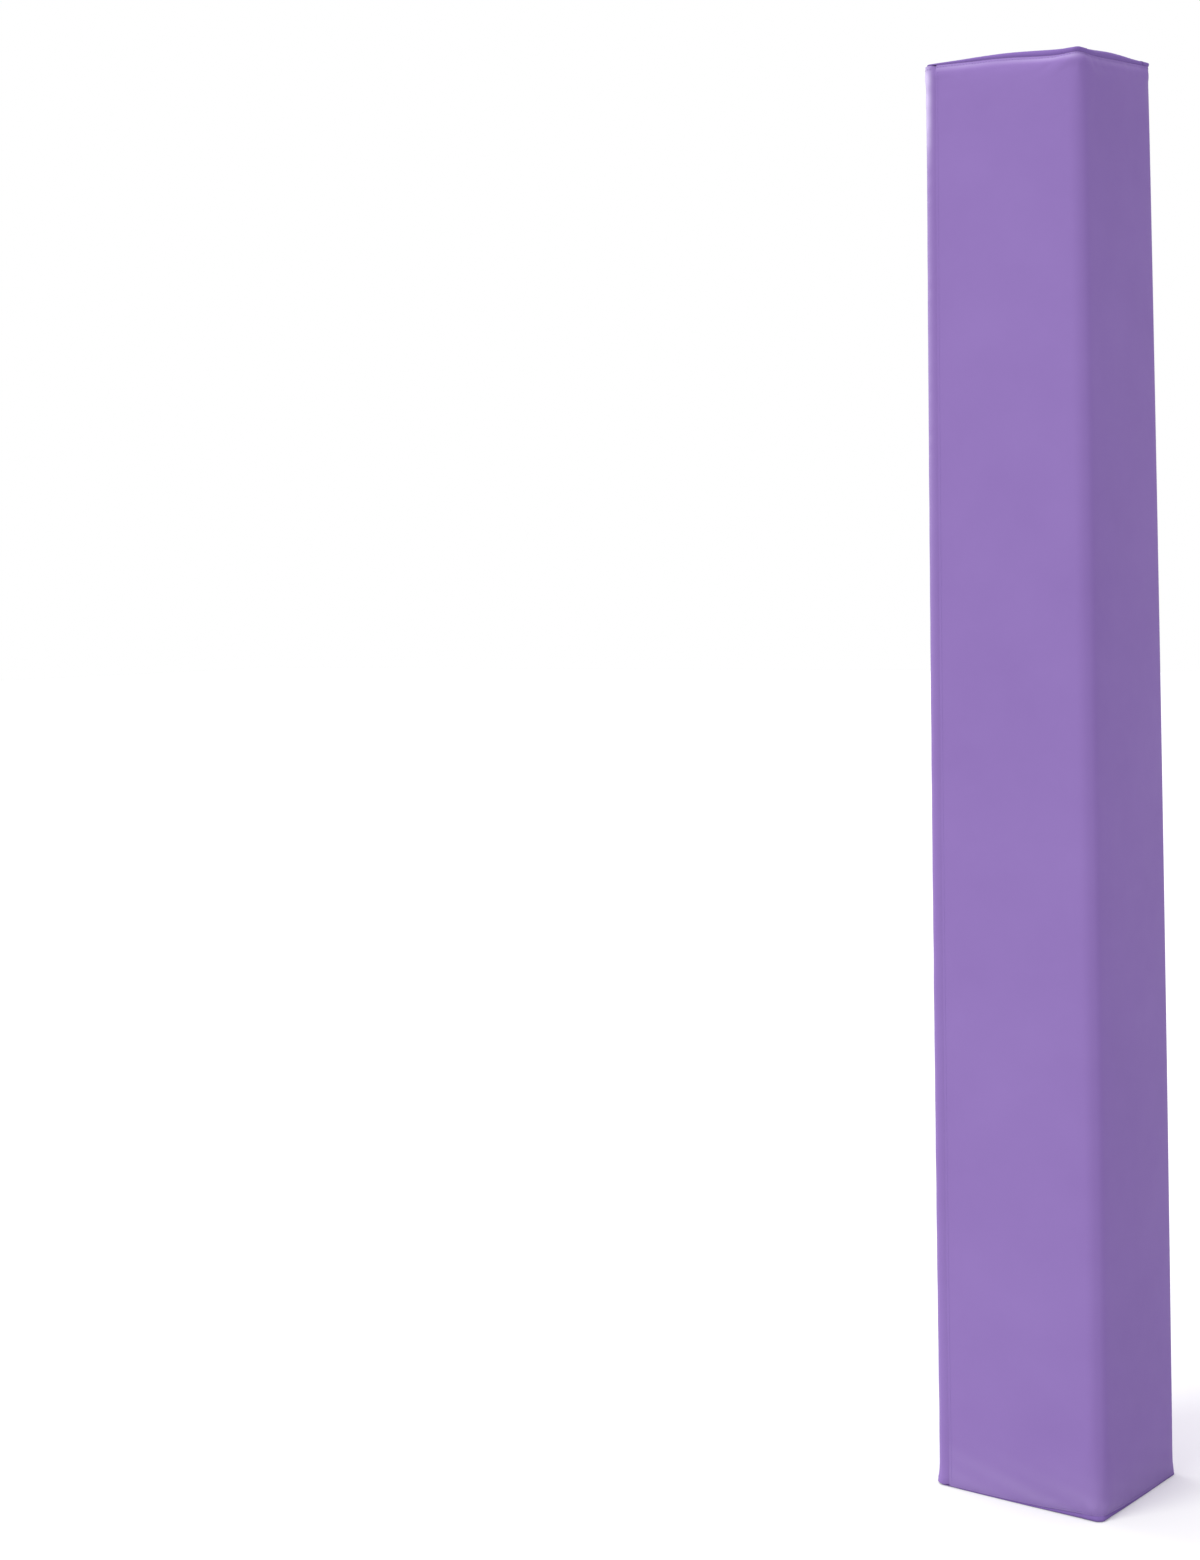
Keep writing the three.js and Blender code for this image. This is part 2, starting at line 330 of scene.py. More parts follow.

# How much painted highlight lies on the crest of the top roll, along the same walk, in hundredths.
top_crest_highlight = ([0.0, 0.12, 0.3, 0.48, 0.65, 0.88, 1.0, 1.1, 1.6, 2.0, 2.5, 3.0, 3.5, 4.0],
             [14, 20, 24, 15, 26, 31, 14, 6, 8, 3, 12, 3, 12, 10])


def along_walk(knots, walk):
    """A length that changes along the walk round the pad, in metres: the knots' values joined by straight
    lines and smoothed by a moving average over 0.3 of a side, which closes on itself."""
    fine = np.linspace(0, 4, 801)
    line = np.interp(fine, *knots)
    reach = 60
    kernel = np.hanning(reach + 1)
    closed = np.concatenate([line[-reach - 1:-1], line, line[1:reach + 1]])
    smooth = np.convolve(closed, kernel / kernel.sum(), mode="same")[reach:-reach]
    return np.interp(walk / side_length, fine, smooth) * MM


def seams(walk):
    """Heights of the bottom seam and of the top seam at places on the walk."""
    return along_walk(bottom_seam, walk), pad_height - along_walk(top_seam, walk)


def uneven(walk, least, most, count, seed):
    """A gentle uneven wave along a line, between -1 and 1: a few cosines of unlike lengths added up."""
    draw = np.random.default_rng(seed)
    lengths = draw.uniform(least, most, count)
    starts = draw.uniform(0, 2 * math.pi, count)
    weights = draw.uniform(0.5, 1, count)
    turns = 2 * math.pi * np.asarray(walk)[..., None] / lengths + starts
    return (np.cos(turns) * weights).sum(-1) / weights.sum()


def eased(share):
    """A share from 0 to 1 that starts and ends gently: 3 share**2 - 2 share**3."""
    return share**2 * (3 - 2 * share)


def groove(roll_depth, from_thread):
    """How deep the thread draws the cloth in: a bell across the seam, less where the sheet rolls less."""
    fullness = np.clip(roll_depth / full_groove_roll, least_groove, 1)
    return groove_depth * fullness * bell(from_thread, groove_width)


def end_roll(from_low, from_high, walk):
    """Depth of the sheet near the end seams: it rolls in over the last stretch, dips at the thread, and
    swells out a little beyond the roll."""
    depth = 0
    for from_seam, knots, (swell, swell_at, swell_width) in ((from_low, bottom_roll, bottom_swell),
                                                             (from_high, top_roll, top_swell)):
        roll_depth = along_walk(knots, walk)
        depth = depth + roll_depth * eased(np.clip(1 - from_seam / roll_height, 0, 1))
        depth = depth + groove(roll_depth, from_seam)
        depth = depth - swell * bell(from_seam - swell_at, swell_width)
    return depth


def both_halves(half_rows):
    """Shares from 0 to 1 for rows given from one end to the middle, and mirrored to the other end."""
    half = half_rows / half_rows[-1] / 2
    return np.concatenate([half, 1 - half[-2::-1]])


# The sheet is one grid. Its columns are places on the walk, and lie closest round the corners. Its rows are
# shares of the way from the bottom seam to the top one, from distances in millimetres.
corner_columns = np.concatenate([np.linspace(split_at, flat_half, 8)[:-1],
                                 np.linspace(flat_half, side_length / 2, 7)])
face_columns = np.linspace(-split_at, split_at, 34)
one_side = np.concatenate([-corner_columns[::-1], face_columns[1:-1], corner_columns])
walks = np.concatenate([one_side[(0 if k == 0 else 1):] + (k + 0.5) * side_length for k in range(4)])
half_height = 914.5
row_shares = both_halves(np.concatenate([np.arange(0, 40, 2.5), np.arange(40, 100, 5),
                                         np.linspace(100, half_height, 75)]))


def cover_rest():
    """The sheet as it is sewn, before it settles, with the heights of its two seams and of its points."""
    walk = walks[None, :]
    low, high = seams(walk)
    up = low + (high - low) * row_shares[:, None]
    panel = np.clip(np.floor(walk / side_length), 0, 3)
    across = walk - (panel + 0.5) * side_length
    along, out = across_face(across, end_roll(up - low, high - up, walk), up)
    return placed(panel, along, out + crown(across, up), up), low, high, up


cover, seam_low, seam_high, cover_up = cover_rest()


def settle(points, normals):
    """Small unevenness of the sewn sheet: puckers square to each end seam that die away from it, and long
    low waves where the foam is softer."""
    walk = walks[None, :]
    size = np.zeros(points.shape[:2])
    for seed, edge in ((3, np.abs(cover_up - seam_low)), (8, np.abs(seam_high - cover_up))):
        fade = np.exp(-edge / pucker_reach) * (1 - bell(edge, 3 * MM))
        size = size + pucker_size * uneven(walk, 15 * MM, 34 * MM, 9, seed) * fade
    length = uneven(cover_up * 0.9 + walk * 0.35, 120 * MM, 330 * MM, 6, 21)
    side = uneven(walk - cover_up * 0.12, 70 * MM, 160 * MM, 5, 22)
    size = size + wave_size * length * side
    return points + normals * size[..., None]


def let_settle(name, points, held, slack, push, least, most):
    """Cloth simulation of a sheet that is given as a grid of points. It is held in place as much as the grid
    held says, it is longer than it was drawn by the share that the grid slack says, and it is pushed lightly
    from inside for 20 frames. Each point then moves as far as the cloth went, but between the least and the
    most along the sheet's normal, and 1 mm along the sheet."""
    frames = 20
    levels = 20
    at = np.arange(points[..., 0].size).reshape(points.shape[:2])
    sheet = new_piece(name, points, grid_faces(at))
    for group, share in (("held", held), ("slack", slack / slack.max())):
        made = sheet.vertex_groups.new(name=group)
        level_at = np.round(share * levels).astype(int)
        for level in range(1, levels + 1):
            made.add(at[level_at == level].tolist(), level / levels, "REPLACE")
    modifier = sheet.modifiers.new("cloth", "CLOTH")
    cloth = modifier.settings
    cloth.quality = 6
    cloth.mass = 0.3
    cloth.tension_stiffness = cloth.compression_stiffness = 12
    cloth.shear_stiffness = 6
    cloth.bending_stiffness = 0.4
    cloth.tension_damping = cloth.compression_damping = 10
    cloth.air_damping = 2
    cloth.vertex_group_mass = "held"
    cloth.pin_stiffness = 1
    cloth.vertex_group_shrink = "slack"
    cloth.shrink_min = 0
    cloth.shrink_max = -float(slack.max())
    cloth.use_pressure = True
    cloth.uniform_pressure_force = push
    cloth.effector_weights.gravity = 0
    modifier.collision_settings.use_collision = False
    modifier.collision_settings.use_self_collision = False
    modifier.point_cache.frame_start, modifier.point_cache.frame_end = 1, frames
    for frame_number in range(1, frames + 1):
        bpy.context.scene.frame_set(frame_number)
    went = np.empty(points.size, np.float32)
    settled = sheet.evaluated_get(bpy.context.evaluated_depsgraph_get())
    settled.data.vertices.foreach_get("co", went)
    bpy.data.objects.remove(sheet)
    bpy.context.scene.frame_set(1)
    moved = went.reshape(points.shape) - points
    normals = facing(points)
    out = (moved * normals).sum(-1, keepdims=True)
    aside = moved - out * normals
    far = np.linalg.norm(aside, axis=-1, keepdims=True)
    aside = aside * (MM * np.tanh(far / MM) / np.maximum(far, 1e-9))
    out = np.where(out > 0, most * np.tanh(out / most), -least * np.tanh(-out / least))
    return points + aside + out * normals


def cover_painted_light():
    """How much paler the sheet is painted: painted highlight along the crest of the top roll, in uneven
    patches, and under the top of the corner between the front and the right, where the fold is drawn tight;
    and painted light, faintly mottled, at the foot, lifting its shade near the floor."""
    walk = walks[None, :]
    from_bottom, from_top = cover_up - seam_low, seam_high - cover_up
    patches = 0.62 + 0.5 * uneven(walk, 45 * MM, 120 * MM, 6, 91)
    strength = along_walk(top_crest_highlight, walk) / MM / 100 * (0.8 + 0.3 * patches)
    # Painted highlight along the crest of the top roll.
    crest = strength * bell(from_top - highlight_crest_at, highlight_crest_width)
    # Painted highlight at the top of the corner between the front and the right.
    fold = bell(walk - highlight_corner_at, 9 * MM) * bell(from_top - 6 * MM, 5 * MM)
    mottled = 0.6 + 0.6 * patches * uneven(cover_up + 0.3 * walk, 25 * MM, 70 * MM, 5, 92)
    # Painted light at the foot: a faint mottled pale tint that lifts the shade near the floor.
    foot = 0.15 * bell(from_bottom, foot_light_height) * mottled
    return np.clip(crest + 0.12 * fold + foot, 0, 1)


cover = settle(cover, facing(cover))
from_seam = np.minimum(cover_up - seam_low, seam_high - cover_up)
from_closing = np.minimum(walks, 4 * side_length - walks)[None, :]
held_by_foam = 0.15 * (1 - bell(from_seam, 60 * MM))
sewn = np.where((from_seam < 0.5 * MM) | (from_closing < 14 * MM), 1.0, held_by_foam)
fullness = 0.004 + 0.03 * bell(from_seam, 22 * MM)
cover = let_settle("cover_sheet", cover, sewn, fullness, 0.6, 0.5 * MM, 2.4 * MM)
cover_light_marks = cover_painted_light()
cover_facing = facing(cover)
cover_inside = cover - cover_facing * vinyl_thickness

# PVC-coated polyester cloth, lavender purple: a satin plastic skin with a fine pressed pebble grain, a soft
# sheen, and a tint that drifts a little over the sheet. It is painted paler in places: painted highlight on
# the crest of the top roll, at the top of the near corner and on the flap's rim, and painted light at the
# foot.
vinyl_grain = 1.1 * MM
# The pale tint of the painted light: painted highlight on the crests and the flap's rim, painted light at
# the foot.
painted_light_tint = "#D6C8EE"


def vinyl(name, light, dark, rough, grain_strength):
    """A PVC-coated cloth: pressed grain, uneven gloss, a slow drift of the tint between two colours, and a
    pale tint mixed in as painted light where the mesh's attribute asks for it.
    """
    finish, tree, shader, place = material(name)
    drift = node(tree, "TexNoise", {"Vector": place, "Scale": 5.0, "Detail": 4.0, "Roughness": 0.6})
    spread = node(tree, "MapRange", {"Value": drift.outputs["Fac"], "From Min": 0.3, "From Max": 0.7})
    tint = node(tree, "Mix", {"Factor": spread.outputs["Result"], "A": linear(light),
                              "B": linear(dark)}, data_type="RGBA")
    # Painted light: the pale tint is mixed in as far as the mesh's attribute says.
    light_mark = node(tree, "Attribute", attribute_name="painted_light")
    tint = node(tree, "Mix", {"Factor": light_mark.outputs["Fac"], "A": tint.outputs["Result"],
                              "B": linear(painted_light_tint)}, data_type="RGBA")
    handled = node(tree, "TexNoise", {"Vector": place, "Scale": 34.0, "Detail": 5.0})
    gloss = node(tree, "MapRange", {"Value": handled.outputs["Fac"], "From Min": 0.3, "From Max": 0.7,
                                    "To Min": rough - 0.05, "To Max": rough + 0.06})
    pebble = node(tree, "TexVoronoi", {"Vector": place, "Scale": 1 / vinyl_grain, "Smoothness": 0.6},
                  feature="SMOOTH_F1")
    grain = node(tree, "Bump", {"Height": pebble.outputs["Distance"], "Strength": grain_strength,
                                "Distance": 0.12 * MM})
    fill(tree, shader, {"Base Color": tint.outputs["Result"], "Roughness": gloss.outputs["Result"],
                        "Normal": grain.outputs["Normal"], "IOR": 1.5, "Specular IOR Level": 0.02})
    return finish


cover_vinyl = vinyl("pvc_coated_cloth_pressed_grain", "#9277B8", "#8D72B3", 0.40, 0.22)


def cut_cover(name, first, last):
    """One piece cut out of the settled sheet between two places on the walk, with the sheet's own normals so
    that no cut line shows."""
    pick = np.flatnonzero((walks > first - 0.1 * MM) & (walks < last + 0.1 * MM))
    piece = body_between(name, cover[:, pick], cover_inside[:, pick], cover_facing[:, pick],
                         cover_light_marks[:, pick])
    give(piece, cover_vinyl)
    return piece


def face_ends(k):
    """Where the part of a panel's face that stays flat begins and ends on the walk. The front one begins at
    the seam of the flap, and the left one runs on to the closing corner."""
    middle = (k + 0.5) * side_length
    first = middle - flat_half if k == 0 else middle - split_at
    last = 4 * side_length if k == 3 else middle + split_at
    return first, last


for k, name in enumerate(PANELS):
    piece = cut_cover(f"{name}_cover", *face_ends(k))
    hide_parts(f"{name}_outer_skin")
    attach(piece, f"{name}_panel")

for k in range(3):
    here, there = PANELS[k], PANELS[k + 1]
    strip = cut_cover(f"{here}_{there}_corner_cover", face_ends(k)[1], face_ends(k + 1)[0])
    bend_start = placed(k, flat_half, face_half, pad_height / 2).tolist()
    bend_end = placed(k + 1, -flat_half, face_half, pad_height / 2).tolist()
    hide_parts(f"{here}_outer_skin", f"{there}_outer_skin")
    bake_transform(strip)


def between(grid, normals, row_places, column_places, row_place, column_place, stand_off):
    """Points and normals at any places on a grid whose rows and columns have known places: each is found
    between the four grid points round it, and then moved out by the stand-off."""
    column = np.clip(np.searchsorted(column_places, column_place) - 1, 0, len(column_places) - 2)
    row = np.clip(np.searchsorted(row_places, row_place) - 1, 0, len(row_places) - 2)
    over = (column_place - column_places[column]) / (column_places[column + 1] - column_places[column])
    rise = (row_place - row_places[row]) / (row_places[row + 1] - row_places[row])
    over, rise = over[..., None], rise[..., None]
    found = []
    for values in (grid, normals):
        below = values[row, column] * (1 - over) + values[row, column + 1] * over
        above = values[row + 1, column] * (1 - over) + values[row + 1, column + 1] * over
        found.append(below * (1 - rise) + above * rise)
    normal = found[1] / np.linalg.norm(found[1], axis=-1, keepdims=True)
    return found[0] + normal * np.asarray(stand_off)[..., None], normal


def on_cover(walk, up, stand_off=0.0):
    """Points and normals on the settled sheet, at places on the walk and at heights. The walk may run on
    past either end."""
    walk, up = np.broadcast_arrays(np.mod(walk, 4 * side_length), up)
    low, high = seams(walk)
    share = np.clip((up - low) / (high - low), 0, 1)
    return between(cover, cover_facing, row_shares, walks, share, walk, stand_off)


def front_edge_strip():
    """The strip of the front pocket's edge under the flap: from below the front sheet round to the mitre,
    sunk by the thickness of the flap that is sewn in over it."""
    walk = np.concatenate([np.linspace(0, 14 * MM, 8), np.linspace(16 * MM, edge_strip_width, 4)])
    low, high = seams(walk)
    up = low + (high - low) * np.linspace(0, 1, 220)[:, None]
    surface, _ = on_cover(walk[None, :], up, -flap_sink - 0 * up)
    return surface, surface - facing(surface) * vinyl_thickness


edge_strip = body_between("front_edge_strip", *front_edge_strip())
give(edge_strip, cover_vinyl, "front_panel")
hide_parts("front_outer_skin")


# End pieces. Each pocket is closed at the top and the bottom by a strip of the same coated cloth, sewn to
# the outside sheet and folded over the foam as far as the pole opening. Its colour is painted darker, as
# painted shade on the rolled ends.

ENDS = [(True, "top"), (False, "bottom")]
end_round_depth = 11 * MM
end_round_rows = 19
end_square_face = 0.70
end_square_corner = 0.36
end_square_reach = 50 * MM
end_pucker = 0.35 * MM
end_gap = 0.05 * MM
end_hollow = 0.7 * MM
end_edge_sink = 0.8 * MM
fold_width = 44 * MM
fold_lift = 0.1 * MM
fold_thickness = 0.35 * MM
# Painted shade: the end pieces' colours are the cover's, painted darker for the shade on the rolled ends.
end_vinyl_painted_shade = vinyl("pvc_coated_cloth_folded_end_painted_shade", "#866CAE", "#7F65A8", 0.44, 0.22)


def end_round(walk, is_top, reach, count):
    """Depth and drop along the end piece's cut, from the seam over a squarish round until it is as deep as
    the reach: powers of the cosine and the sine of a turn. It starts in the groove of the seam, just beyond
    the outside sheet, and is squarest at the corners of the pad. At the top it is puckered, and at the
    bottom it leaves room for the folds at the corners."""
    drop = along_walk(top_seam if is_top else bottom_seam, walk)
    roll = along_walk(top_roll if is_top else bottom_roll, walk)
    to_corner = np.abs(np.mod(walk / side_length + 0.5, 1) - 0.5) * side_length
    face_square = end_square_face if is_top else end_square_corner
    from_corner = np.clip(to_corner / end_square_reach, 0, 1)
    square = end_square_corner + (face_square - end_square_corner) * from_corner
    seam_depth = roll + 0.2 * MM
    left = np.clip((end_round_depth - reach) / (end_round_depth - seam_depth), 0, 1)
    turn = eased(np.linspace(0, 1, count)[:, None]) * np.arccos(left ** (1 / square))
    depth = end_round_depth - (end_round_depth - seam_depth) * np.cos(turn) ** square
    height = (drop - 0.3 * MM) * (1 - np.sin(turn) ** square)
    depth = depth + groove(roll, drop - height)
    if is_top:
        wave = end_pucker * np.abs(uneven(walk, 15 * MM, 30 * MM, 7, 41))
        return depth, height + wave * bell(end_round_depth - depth, 7 * MM)
    at_corner = np.clip((0.6 * fold_width - to_corner) / (0.1 * fold_width), 0, 1)
    return depth, height + (fold_lift + fold_thickness) * at_corner * (1 - height / drop)


def end_profile(walk, is_top):
    """The whole cut of an end piece: the round, and then the flat end as far as a lip at the opening."""
    depth, height = end_round(walk, is_top, end_round_depth, end_round_rows)
    level = 0 * height[0]
    across = np.linspace(end_round_depth, wall_thickness - 1.2 * MM, 9)[1:, None] + level
    lip = np.array([[wall_thickness - 0.4 * MM], [wall_thickness]]) + level
    sink = np.array([[0.25 * MM], [1.0 * MM]]) + level
    return np.concatenate([depth, across, lip]), np.concatenate([height, 0 * across, sink])


def end_surface(k, is_top):
    """The end piece's outside and its normals: columns go across the panel from mitre to mitre, and rows
    follow the profile. The flat end is a little hollow between its edges, and sinks towards the mitres. One
    more column at each side gives the mitred edges the normals of the whole corner."""
    arc = np.arange(0, 8) / 6 * (0.5 * side_length - flat_half)
    across = np.concatenate([-flat_half - arc[:0:-1], np.linspace(-flat_half, flat_half, 45),
                             flat_half + arc[1:]])[None, :]
    walk = across + (k + 0.5) * side_length
    depth, height = end_profile(walk, is_top)
    inward = np.clip((depth - end_round_depth) / (wall_thickness - end_round_depth), 0, 1)
    hollow = end_hollow * np.sin(math.pi * inward) * (0.6 + 0.4 * uneven(walk, 40 * MM, 90 * MM, 5, 31 + k))
    to_mitre = np.clip((0.5 * side_length - np.abs(across)) / (9 * MM), 0, 1)
    edge = end_edge_sink * (1 - to_mitre) ** 2 * np.clip(inward * 4, 0, 1)
    height = height + hollow + edge
    up = pad_height - height if is_top else height
    along, out = across_face(across, depth, up, end_gap)
    normals = facing(placed(k, along, out, up))
    surface = placed(k, along, out, up, mitre_gap)
    rows = slice(None) if is_top else slice(None, None, -1)
    return surface[rows, 1:-1], normals[rows, 1:-1] * (1 if is_top else -1)


for k, name in enumerate(PANELS):
    for is_top, end in ENDS:
        outside, normals = end_surface(k, is_top)
        piece = body_between(f"{name}_{end}_end_piece", outside, outside - normals * vinyl_thickness,
                             normals)
        give(piece, end_vinyl_painted_shade, f"{name}_panel")
        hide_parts(f"{name}_{end}_end")


# Corner folds. At each of the three folding corners a narrow fold of the same cloth, sewn in with the end
# pieces, lies over their two mitred edges and bridges them from the seam to the line of the fold, so that no
# foam shows there when the pad opens.

fold_reach = {"top": 6 * MM, "bottom": 11 * MM}


def corner_fold(k, is_top, reach):
    """What a corner's fold lies on, and its normals: columns go round the corner from one panel to the next,
    and rows go over the end from the seam to a little past the axis of the fold."""
    walk = (k + 1) * side_length + np.linspace(-0.5, 0.5, 29)[None, :] * fold_width
    depth, height = end_round(walk, is_top, reach, 12)
    up = pad_height - height if is_top else height
    panel = k + (walk > (k + 1) * side_length)
    along, out = across_face(walk - (panel + 0.5) * side_length, depth, up)
    surface = placed(panel, along, out, up)
    surface = surface if is_top else surface[::-1]
    return surface, facing(surface)


for k in range(3):
    here, there = PANELS[k], PANELS[k + 1]
    for is_top, end in ENDS:
        surface, normals = corner_fold(k, is_top, fold_reach[end])
        outside = surface + normals * (fold_lift + fold_thickness)
        piece = body_between(f"{here}_{there}_{end}_corner_fold", outside, surface + normals * fold_lift,
                             normals)
        give(piece, end_vinyl_painted_shade)
        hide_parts(f"{here}_{end}_end", f"{there}_{end}_end")
        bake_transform(piece)


# Linings. The inside of each pocket, against the pole and on both mitred sides, is one piece of a plainer,
# duller coated cloth, sewn in at the corners of the outside sheet and at the end pieces.

lining_vinyl = vinyl("pvc_coated_cloth_plain_back", "#7C66A2", "#75609B", 0.58, 0.3)
lining_corner = 2.2 * MM
lining_under_face = 1.2 * MM
lining_under_end = 0.9 * MM


def lining_surface(k):
    """The lining's shown side: columns go from the outer edge of one mitre down to the opening, across the
    side against the pole, and out along the other mitre; rows go up. The pole side is a little uneven, and
    the outer edges stay under the roll of the outside sheet at both ends."""
    outer = flat_half + corner_radius * math.cos(math.pi / 4) - lining_under_face
    inner = opening_half
    mitre = np.linspace(outer, inner + lining_corner, 12)
    turn = np.linspace(0, math.pi / 4 * 3, 7)[1:-1]
    bend_out = inner + lining_corner * (1 - np.sin(turn * 2 / 3)) ** 1.5
    bend_along = inner - lining_corner * (1 - np.cos(turn * 2 / 3)) * 0.9
    flat = np.linspace(inner - 1.2 * lining_corner, -inner + 1.2 * lining_corner, 41)
    along = np.concatenate([mitre, bend_along, flat, -bend_along[::-1], -mitre[::-1]])
    out = np.concatenate([mitre, bend_out, 0 * flat + inner, bend_out[::-1], mitre[::-1]])
    along = along - np.sign(along) * mitre_gap * math.sqrt(2) * (np.abs(along) > inner - lining_corner)
    depth = face_half - out
    edge = (k + 0.5 + 0.5 * np.sign(along)) * side_length
    drops = []
    for is_top, _ in ENDS:
        cut_depth, cut_height = end_round(edge, is_top, end_round_depth, end_round_rows)
        height = [np.interp(depth[i], cut_depth[:, i], cut_height[:, i]) for i in range(len(depth))]
        drops.append(np.array(height) + lining_under_end)
    rows = both_halves(np.concatenate([np.arange(0, 40, 4), np.linspace(40, half_height, 60)]))[:, None]
    up = drops[1] + (pad_height - drops[0] - drops[1]) * rows
    on_pole_side = np.clip(1 - (np.abs(along) / inner) ** 4, 0, 1) * (depth > wall_thickness - 0.1 * MM)
    from_end = np.minimum(up, pad_height - up)
    wave = uneven(up + 0.3 * along, 60 * MM, 210 * MM, 7, 51 + k)
    wave = wave * uneven(along, 50 * MM, 130 * MM, 4, 61 + k)
    lift = (0.35 + 0.45 * wave) * MM * on_pole_side * (1 - np.exp(-from_end / (20 * MM)))
    low, high = seams(edge)
    rolled = np.maximum(end_roll(np.maximum(up - low, 0), np.maximum(high - up, 0), edge), 0)
    on_mitre = np.clip((out - inner - lining_corner) / (outer - inner - lining_corner), 0, 1)
    drawn = (corner_radius - corner_turn(up)) * (1 - math.cos(math.pi / 4))
    back = (rolled - drawn) * on_mitre
    return placed(k, along - np.sign(along) * back, out - lift - back, up, mitre_gap)


for k, name in enumerate(PANELS):
    shown = lining_surface(k)
    piece = body_between(f"{name}_lining", shown, shown - facing(shown) * vinyl_thickness)
    give(piece, lining_vinyl, f"{name}_panel")
    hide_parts(f"{name}_inner_lining")


# Loop and hook tapes. Black nylon tape: the soft loop side is sewn on the left panel beside the closing
# corner, and the hook side inside the flap.

tape_width = 50 * MM
tape_thickness = 1.2 * MM
tape_gap = 0.3 * MM
tape_low, tape_high = (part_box("left_loop_tape")[k].z for k in (0, 1))
tape_from_corner = 0.5 * side_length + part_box("left_loop_tape")[0].y
selvedge_width = 3 * MM
selvedge_thickness = 0.55
hook_pitch = 1.6 * MM


def tape_body(name, stand_off):
    """A flat tape that follows the sheet at a stand-off: thinner along both woven edges, which are sewn."""
    across = np.concatenate([[0, 0.8, 1.6], np.linspace(3, 47, 12), [48.4, 49.2, 50]]) * MM
    walk = 4 * side_length - tape_from_corner - tape_width + across
    up = np.linspace(tape_low, tape_high, 150)[:, None]
    selvedge = np.clip(np.minimum(across, tape_width - across) / selvedge_width, 0, 1)
    thick = tape_thickness * (selvedge_thickness + (1 - selvedge_thickness) * selvedge)[None, :]
    under, _ = on_cover(walk[None, :], up, stand_off)
    over, _ = on_cover(walk[None, :], up, stand_off + thick)
    return body_between(name, over, under)


# Woven nylon with moulded hooks: rows of stiff hooks over a plain ground, which look like a fine dark mesh.
hook_finish, tree, shader, place = material("nylon_hook_tape_moulded")
hooks = node(tree, "TexVoronoi", {"Vector": place, "Scale": 1 / hook_pitch, "Randomness": 0.25})
shade = node(tree, "MapRange", {"Value": hooks.outputs["Distance"], "From Max": 0.6})
tint = node(tree, "Mix", {"Factor": shade.outputs["Result"], "A": linear("#34313A"),
                          "B": linear("#151317")}, data_type="RGBA")
stubble = node(tree, "Bump", {"Height": hooks.outputs["Distance"], "Strength": 0.9,
                              "Distance": 0.6 * MM}, invert=True)
fill(tree, shader, {"Base Color": tint.outputs["Result"], "Normal": stubble.outputs["Normal"],
                    "Roughness": 0.55})

# Woven nylon brushed up into loops: a soft dull pile with a slight nap.
loop_finish, tree, shader, place = material("nylon_loop_tape_brushed")
pile = node(tree, "TexNoise", {"Vector": place, "Scale": 900.0, "Detail": 3.0, "Distortion": 1.2})
nap = node(tree, "TexNoise", {"Vector": place, "Scale": 60.0, "Detail": 3.0})
mixed = node(tree, "Math", {0: pile.outputs["Fac"], 1: nap.outputs["Fac"]}, operation="MULTIPLY")
tint = node(tree, "Mix", {"Factor": mixed.outputs["Value"], "A": linear("#1B191E"),
                          "B": linear("#4A4550")}, data_type="RGBA")
fuzz = node(tree, "Bump", {"Height": pile.outputs["Fac"], "Strength": 0.8, "Distance": 0.5 * MM})
fill(tree, shader, {"Base Color": tint.outputs["Result"], "Normal": fuzz.outputs["Normal"],
                    "Roughness": 0.95, "Sheen Weight": 0.25})

loop_tape = tape_body("loop_tape", tape_gap)
give(loop_tape, loop_finish, "left_panel")
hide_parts("left_loop_tape")

hook_tape = tape_body("hook_tape", 2 * tape_gap + tape_thickness)
give(hook_tape, hook_finish, "flap")
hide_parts("flap_hook_tape")


# Closure flap. A strip of the same coated cloth, hemmed double, is sewn down the front face beside its left
# corner. It goes round the corner and is pressed down over the tapes on the left panel.

flap_thickness = 1.2 * MM
flap_end_gap = 0.6 * MM
flap_low, flap_high = flap_end_gap, pad_height - flap_end_gap
flap_reach = 0.5 * side_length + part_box("closure_flap")[1].y
flap_seam = 0.5 * side_length - flat_half
flap_margin = flap_seam + 7 * MM
hem_width = 9 * MM
hem_ridge = 0.35 * MM
hem_softness = 0.35 * MM
tucked_thinning = 0.7 * MM
free_edge_dip = 1.3 * MM
flap_swell_at = -6 * MM
flap_swell_width = 10 * MM
ruffle_size = 1.5 * MM
ruffled_at_top = 105 * MM
ruffled_at_bottom = 50 * MM
looseness = 0.25 * MM
# Painted highlight on the flap's rim round the corner: its reach down from the top, a fainter reach, its
# place on the walk and its width.
highlight_at_top = 112 * MM
faint_highlight_at_top = 700 * MM
rim_highlight_at = -1 * MM
rim_highlight_width = 7.5 * MM

# Its columns are places on the walk, where the closing corner is nothing and the left panel is below it, and
# its rows are heights.
flap_walks = np.concatenate([np.linspace(-flap_reach, -15 * MM, 28), np.linspace(-13.5 * MM, 13.5 * MM, 19),
                             np.linspace(14.3 * MM, flap_margin, 5)])
flap_rows = np.concatenate([[0, 1.2, 2.4], np.arange(4, 160, 3.5), np.linspace(160, 902.5, 70)])
flap_ups = flap_low + (flap_high - flap_low) * both_halves(flap_rows)


